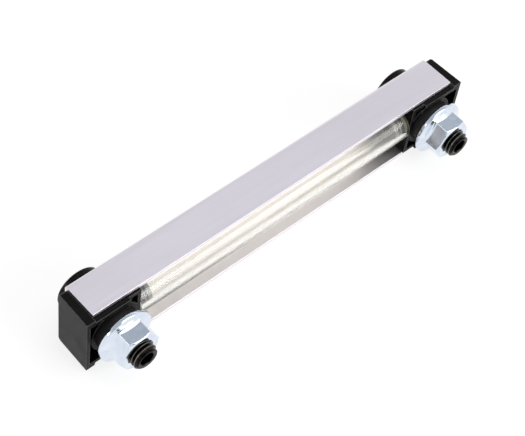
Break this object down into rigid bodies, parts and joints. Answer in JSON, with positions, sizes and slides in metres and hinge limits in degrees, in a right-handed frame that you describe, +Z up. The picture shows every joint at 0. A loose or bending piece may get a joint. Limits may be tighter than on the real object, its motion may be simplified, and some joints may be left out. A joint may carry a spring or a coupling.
{
  "type": "tank level gauge",
  "caption": "Side-mounted fluid level gauge with a clear sight tube in an open channel housing, held between moulded end blocks by hollow bolts with flange nuts.",
  "frame": {"origin": "midway between the two mounting bolts, on the tank wall plane where the tank seals bear", "axes": "+Y points into the tank along the bolts, +X runs along the gauge to its lower end, +Z is up as the gauge lies on its side"},
  "size_m": [0.1762, 0.0372, 0.028],
  "materials": {
    "housing": "satin anodised",
    "tube": "clear polished",
    "block": "moulded black",
    "bolt": "black oxide",
    "nut": "bright zinc plated",
    "seal": "black"
  },
  "bodies": {
    "root": {"housing_channel": "housing", "sight_tube": "tube", "upper_end_block": "block", "lower_end_block": "block", "upper_hollow_bolt": "bolt", "lower_hollow_bolt": "bolt", "upper_flange_nut": "nut", "lower_flange_nut": "nut", "upper_head_seal": "seal", "lower_head_seal": "seal", "upper_tank_seal": "seal", "lower_tank_seal": "seal", "upper_tube_ring": "seal", "lower_tube_ring": "seal"}
  },
  "joints": []
}
